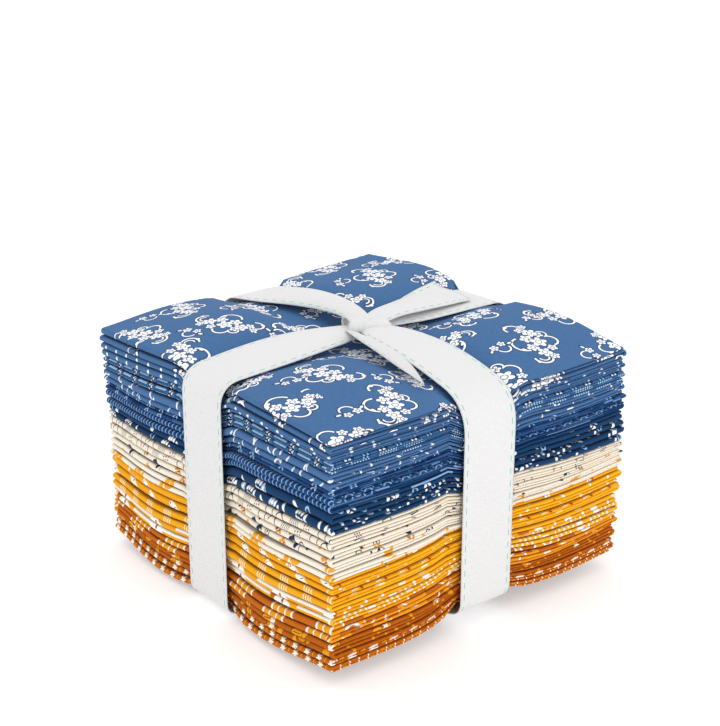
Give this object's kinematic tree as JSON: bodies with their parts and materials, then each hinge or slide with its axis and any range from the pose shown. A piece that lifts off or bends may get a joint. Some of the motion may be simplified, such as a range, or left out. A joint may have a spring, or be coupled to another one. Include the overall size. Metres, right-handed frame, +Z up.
{
  "type": "fat quarter bundle",
  "caption": "Stack of folded cotton fat quarters in graded denim, navy, cream, mustard and rust prints, tied both ways with a white twill ribbon knotted on top.",
  "frame": {"origin": "centre of the bounding box's base, on the surface the bundle rests on", "axes": "+X along the rolled fold faces, +Y from the front rolls towards the back, +Z up"},
  "size_m": [0.154, 0.1458, 0.1005],
  "materials": {
    "rust_sprig": "plain-weave quilting cotton, rust ground with small pale sprigs",
    "gold_floral": "plain-weave quilting cotton, rust-brown ground with gold flowers",
    "rust_arc": "plain-weave quilting cotton, rust and mustard bands with white arcs",
    "mustard_bar": "plain-weave quilting cotton, mustard ground with white bars",
    "mustard_tally": "plain-weave quilting cotton, mustard ground with pale tally strokes",
    "mustard_bird": "plain-weave quilting cotton, mustard ground with small white birds",
    "cream_flower": "plain-weave quilting cotton, cream ground with mustard flowers",
    "cream_figure": "plain-weave quilting cotton, cream ground with small navy and orange figures",
    "cream_box": "plain-weave quilting cotton, cream ground with fine navy boxes and strokes",
    "navy_leaf": "plain-weave quilting cotton, navy ground with white leaves and diamonds",
    "navy_tick": "plain-weave quilting cotton, navy ground with close pale-blue strokes",
    "blue_ring": "plain-weave quilting cotton, mottled mid blue with small pale rings",
    "denim_mark": "plain-weave quilting cotton, denim-blue ground with small white marks",
    "blue_dash": "plain-weave quilting cotton, blue ground with paired pale dashes and dot groups",
    "denim_dot": "plain-weave quilting cotton, denim-blue ground with white pin dots",
    "denim_floral": "plain-weave quilting cotton, denim-blue ground with white floral scrolls outlined in navy",
    "ribbon_twill": "white cotton twill ribbon with a teal running stitch near each edge"
  },
  "bodies": {
    "root": {"quarter_01_rust_sprig": "rust_sprig", "quarter_02_gold_floral": "gold_floral", "quarter_03_rust_arc": "rust_arc", "quarter_04_mustard_bar": "mustard_bar", "quarter_05_mustard_tally": "mustard_tally", "quarter_06_mustard_bird": "mustard_bird", "quarter_07_cream_flower": "cream_flower", "quarter_08_cream_figure": "cream_figure", "quarter_09_cream_box": "cream_box", "quarter_10_navy_leaf": "navy_leaf", "quarter_11_navy_tick": "navy_tick", "quarter_12_blue_ring": "blue_ring", "quarter_13_denim_mark": "denim_mark", "quarter_14_blue_dash": "blue_dash", "quarter_15_denim_dot": "denim_dot", "quarter_16_denim_floral": "denim_floral", "ribbon": "ribbon_twill"}
  },
  "joints": []
}
